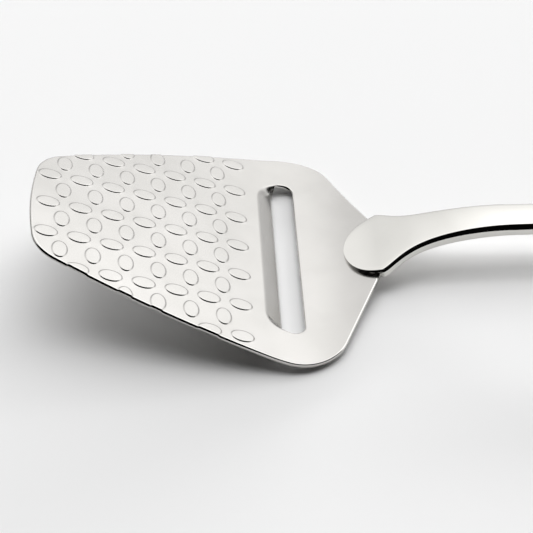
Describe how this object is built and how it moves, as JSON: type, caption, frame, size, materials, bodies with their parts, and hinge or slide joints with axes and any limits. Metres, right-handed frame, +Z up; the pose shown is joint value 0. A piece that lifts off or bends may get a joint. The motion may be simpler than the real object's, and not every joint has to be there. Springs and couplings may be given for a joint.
{
  "type": "cheese slicer",
  "caption": "All-steel cheese slicer: tapered stamped blade with raised ovals, a crosswise slot with a pressed-down cutting lip, and a slim polished handle lapped and welded on top.",
  "frame": {"origin": "middle of the length and of the width, on the table that the slicer rests on", "axes": "+X along the slicer towards the handle's end, +Y across the blade, +Z up from the table"},
  "size_m": [0.2292, 0.0712, 0.0202],
  "materials": {
    "satin_steel": "satin, stamped and tumbled",
    "polished_steel": "mirror polished",
    "weld_steel": "fused, as welded"
  },
  "bodies": {
    "root": {"blade": "satin_steel", "handle": "polished_steel", "spot_welds": "weld_steel"}
  },
  "joints": []
}
